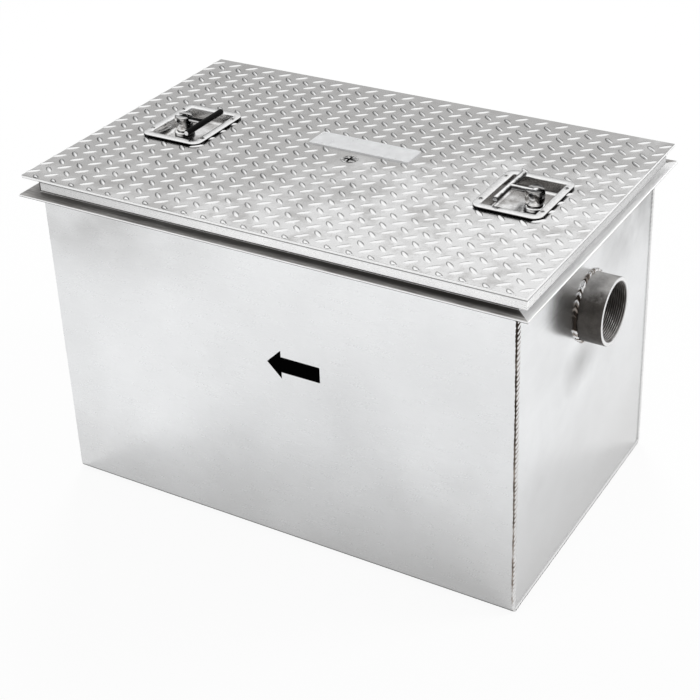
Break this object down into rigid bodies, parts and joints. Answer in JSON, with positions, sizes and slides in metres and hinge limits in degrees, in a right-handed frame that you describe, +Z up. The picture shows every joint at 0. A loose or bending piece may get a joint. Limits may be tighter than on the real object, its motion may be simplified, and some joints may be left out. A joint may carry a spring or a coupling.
{
  "type": "grease trap",
  "caption": "Welded steel grease trap: rectangular tank with threaded pipe couplings, gasketed tread-plate cover on folding T-handle latches, and lift-out baffles.",
  "frame": {"origin": "centre of the tank's underside, on the floor", "axes": "+X along the tank towards the inlet coupling, +Y to the rear wall, +Z up through the cover"},
  "size_m": [0.858, 0.5358, 0.55],
  "materials": {
    "sheet_steel": "satin, faintly mottled",
    "rim_steel": "mill finish, satin",
    "tread_steel": "rolled tread plate, lug tops bright",
    "edge_steel": "bright satin",
    "weld_metal": "rippled weld bead",
    "coupling_steel": "dark mill scale, machined end and thread",
    "latch_steel": "polished stainless pressing",
    "gasket_rubber": "matt black rubber",
    "label_metal": "smooth matt plate, bare"
  },
  "bodies": {
    "tank": {"body_wrap": "sheet_steel", "inlet_end_plate": "sheet_steel", "outlet_end_plate": "sheet_steel", "inlet_end_weld": "weld_metal", "outlet_end_weld": "weld_metal", "rim_angle_front": "rim_steel", "rim_angle_rear": "rim_steel", "rim_angle_inlet": "rim_steel", "rim_angle_outlet": "rim_steel", "rim_gasket": "gasket_rubber", "inlet_coupling": "coupling_steel", "outlet_coupling": "coupling_steel", "inlet_coupling_weld": "weld_metal", "outlet_coupling_weld": "weld_metal", "inlet_keeper": "rim_steel", "outlet_keeper": "rim_steel", "inlet_baffle": "sheet_steel", "outlet_baffle": "sheet_steel", "inlet_guide_front": "rim_steel", "inlet_guide_rear": "rim_steel", "outlet_guide_front": "rim_steel", "outlet_guide_rear": "rim_steel", "inlet_baffle_loop": "rim_steel", "outlet_baffle_loop": "rim_steel"},
    "cover": {"cover_plate": "tread_steel", "edge_bar_front": "edge_steel", "edge_bar_rear": "edge_steel", "edge_bar_inlet": "edge_steel", "edge_bar_outlet": "edge_steel", "label_plate": "label_metal", "centre_screw": "coupling_steel", "centre_boss": "rim_steel", "latch_rivets": "latch_steel", "inlet_latch_pan": "latch_steel", "outlet_latch_pan": "latch_steel", "inlet_latch_gasket": "gasket_rubber", "outlet_latch_gasket": "gasket_rubber"},
    "inlet_latch": {"inlet_spindle": "latch_steel", "inlet_pin": "latch_steel", "inlet_cam": "rim_steel", "inlet_cam_nut": "rim_steel"},
    "outlet_latch": {"outlet_spindle": "latch_steel", "outlet_pin": "latch_steel", "outlet_cam": "rim_steel", "outlet_cam_nut": "rim_steel"},
    "inlet_grip": {"inlet_handle": "latch_steel"},
    "outlet_grip": {"outlet_handle": "latch_steel"}
  },
  "joints": [
    {"name": "cover_lift", "type": "slide", "parent": "tank", "child": "cover", "axis": [0, 0, 1], "range_m": [0, 0.3]},
    {"name": "inlet_latch_turn", "type": "hinge", "parent": "cover", "child": "inlet_latch", "pos_m": [0.302, 0, 0.5], "axis": [0, 0, 1], "range_deg": [0, 90]},
    {"name": "outlet_latch_turn", "type": "hinge", "parent": "cover", "child": "outlet_latch", "pos_m": [-0.302, 0, 0.5], "axis": [0, 0, -1], "range_deg": [0, 90]},
    {"name": "inlet_handle_fold", "type": "hinge", "parent": "inlet_latch", "child": "inlet_grip", "pos_m": [0.302, 0, 0.54415], "axis": [0, 1, 0], "range_deg": [0, 90]},
    {"name": "outlet_handle_fold", "type": "hinge", "parent": "outlet_latch", "child": "outlet_grip", "pos_m": [-0.302, 0, 0.54415], "axis": [0, -1, 0], "range_deg": [0, 90]}
  ]
}
